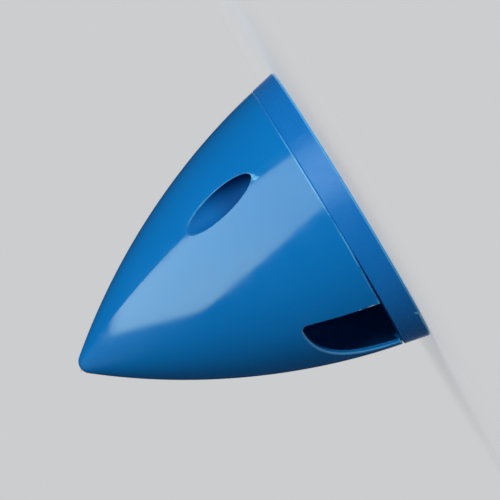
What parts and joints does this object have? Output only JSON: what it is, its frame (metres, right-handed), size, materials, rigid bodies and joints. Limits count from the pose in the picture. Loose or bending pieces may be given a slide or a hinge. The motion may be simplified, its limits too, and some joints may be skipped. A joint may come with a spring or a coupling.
{
  "type": "propeller spinner",
  "caption": "Pointed plastic spinner of a model aeroplane: an ogive shell with prop cut-outs and deep screw wells, screwed to a ribbed backplate with a central shaft bore.",
  "frame": {"origin": "middle of the backplate's rear rim, on the spin axis", "axes": "+Z along the spin axis towards the nose, the screw wells on +X and -X, the blades pass out along +Y and -Y"},
  "size_m": [0.0758, 0.0758, 0.0788],
  "materials": {
    "shell_plastic": "deep blue injection-moulded plastic, polished",
    "backplate_plastic": "deep blue injection-moulded plastic, slightly duller than the shell",
    "screw_steel": "zinc-plated steel"
  },
  "bodies": {
    "root": {"cone": "shell_plastic", "backplate": "backplate_plastic", "cone_screw_right": "screw_steel", "cone_screw_left": "screw_steel"}
  },
  "joints": []
}
